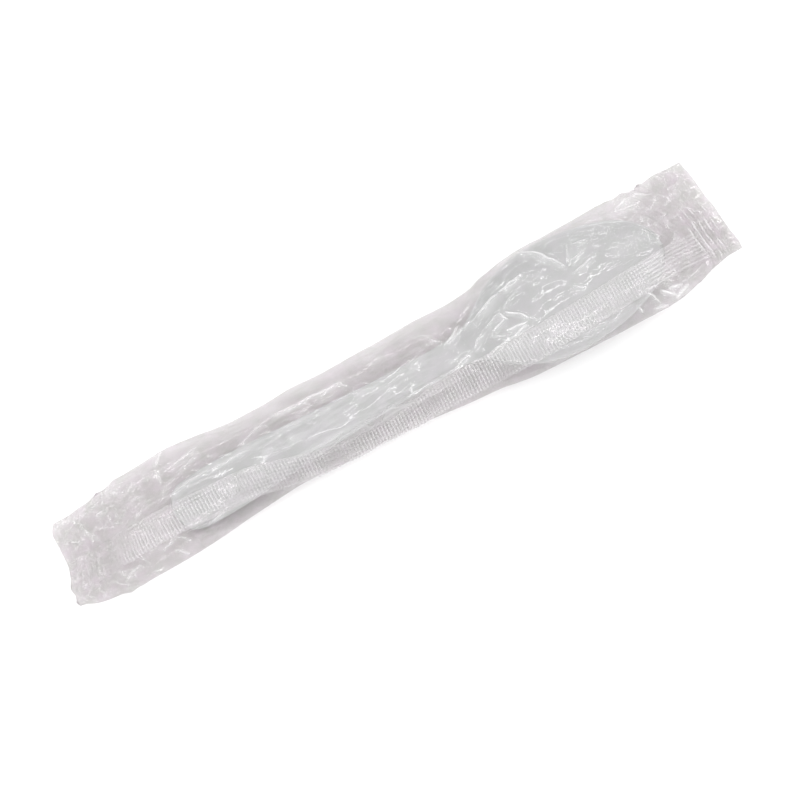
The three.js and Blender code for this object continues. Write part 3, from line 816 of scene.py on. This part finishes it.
fin_x = np.repeat(fin_stations[:, None], FIN_ACROSS + 1, 1)
reach = np.repeat(fin_reach[None, :], len(fin_stations), 0)
fin_y, fin_z = on_bag(under_y), np.maximum(on_bag(under_z), on_bag(crisp_z))
fin_inside = np.minimum(fin_x - LEFT_SEAL_X, RIGHT_SEAL_X - fin_x)
loose = 0.12 + 0.3 * ease(reach, 2, 8) * (1 + cloud_noise(fin_x / 13, reach / 30, 6))
lift = (0.07 + ease(fin_inside, 0, 8) * loose) * ease(reach, -0.4, 1.6)
knurl_mark = through([
    (-90, 0.1), (-84, 0.9), (-66, 1), (-58, 1.1), (-48, 1), (-41, 0.7), (-35, 0.85), (-27, 0.85),
    (-20, 0.75), (-9, 1.15), (1, 1.1), (6, 0.8), (14, 1.1), (28, 1), (38, 0.8), (46, 0.85), (68, 0.8),
    (76, 1.5), (92, 1.4), (96, 0.8),
])
worn = ease(cloud_noise(fin_x / 9, reach / 5, 7), -1.1, 0.25) * knurl_mark(fin_x)
ribs = np.cos(2 * np.pi * fin_x / RIB_PITCH) * (1 - 0.85 * ease(fin_x, 70, 78))
lines = np.cos(2 * np.pi * (reach - 0.5) / LINE_PITCH)
line_share = 0.28 + 0.3 * ease(fin_x, 66, 76) + 0.3 * (1 - ease(fin_x, -62, -50)) * (1 - ease(reach, 1, 5))
pressed = ease(reach, 0.2, 0.7) * ease(FIN_WIDTH - reach, 0.1, 0.5) * ease(fin_inside, -4, 1)
lift = lift + pressed * (0.3 + 0.7 * np.minimum(worn, 1)) * (RIB_HEIGHT * ribs + LINE_HEIGHT * lines)
knurl_and_crimp_glints = pressed * worn * (0.5 + 0.5 * ribs) ** 1.2 * (1 - line_share + line_share * lines)
fin_crimp_white_and_glints = on_bag(along_stations(crimp_white_and_glints[:, near_side]))
# The crimp lines' white, partly painted highlight, goes on the band too.
knurl_and_crimp_glints = knurl_and_crimp_glints + 0.7 * fin_crimp_white_and_glints
fin_y = fin_y + on_bag(square_y) * lift
fin_z = fin_z + on_bag(square_z) * lift
row = np.rint(fin_u * FIN_ALONG).astype(int)
column = np.rint(fin_v * FIN_ACROSS).astype(int)
place_points(fin, to_cut_ends(fin_x, fin_y)[row, column], fin_y[row, column], fin_z[row, column])
keep_values(fin, "knurl_haze_and_crimp_glints", knurl_and_crimp_glints[row, column])
finish_with(fin, "SOLIDIFY", thickness=FIN_WALL * MM, offset=0)
bpy.ops.object.shade_smooth_by_angle(angle=math.radians(60))
SEALED_PALE = (0.965, 0.955, 0.962)
SEALED_DEEP = (0.945, 0.94, 0.94)
sealed_film = clear_film("sealed_film", SEALED_PALE, SEALED_DEEP, 0.02, 0.2, "knurl_haze_and_crimp_glints", 0.27)
fin.data.materials.append(sealed_film)
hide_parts("film_wrapper")
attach(fin, "root")


# ---- Floor and light ----
# A pale sweep under the pack, a broad soft light from the far side, and four narrow strips over the
# pack's edges for the film's sharp glints.
FLOOR_SIZE = 6.0
bpy.ops.mesh.primitive_plane_add(size=FLOOR_SIZE, location=(0, 0, 0))
floor = bpy.context.object
floor.name = "pale_floor"
floor_paint, nodes, links = new_material("floor_paint")
out = nodes.new("ShaderNodeOutputMaterial")
paint = nodes.new("ShaderNodeBsdfDiffuse")
paint.inputs["Color"].default_value = (0.97, 0.97, 0.97, 1)
links.new(paint.outputs["BSDF"], out.inputs["Surface"])
floor.data.materials.append(floor_paint)

world = bpy.data.worlds.new("studio")
bpy.context.scene.world = world
world.use_nodes = True
world.node_tree.nodes["Background"].inputs["Color"].default_value = (1, 1, 1, 1)
world.node_tree.nodes["Background"].inputs["Strength"].default_value = 1.13


def area_light(name, side, height, across, size, power):
    """A rectangular light that faces the pack: side is towards the far side, across to the right."""
    place = picture_right * across + look_across * side + Vector((0, 0, height))
    bpy.ops.object.light_add(type="AREA", location=place)
    light = bpy.context.object
    light.name = name
    light.rotation_euler = (-place).to_track_quat("-Z", "Y").to_euler()
    light.data.shape = "RECTANGLE"
    light.data.size, light.data.size_y = size
    light.data.energy = power
    return light


soft_key = area_light("soft_key", 0.8, 0.8, -0.1, (0.9, 0.5), 2.2)
soft_key.visible_glossy = False
# name, towards the far side, height, to the right, size, power
GLINT_STRIPS = [
    ("far_strip", 0.62, 1.0, 0.0, (1.1, 0.03), 1.2),
    ("near_strip", -0.35, 1.1, 0.1, (1.1, 0.03), 1.2),
    ("left_strip", 0.1, 1.05, -0.6, (0.03, 0.9), 1.0),
    ("right_strip", 0.15, 1.05, 0.55, (0.03, 0.9), 1.0),
]
for strip in GLINT_STRIPS:
    area_light(*strip)
bpy.context.scene.view_settings.view_transform = "Standard"
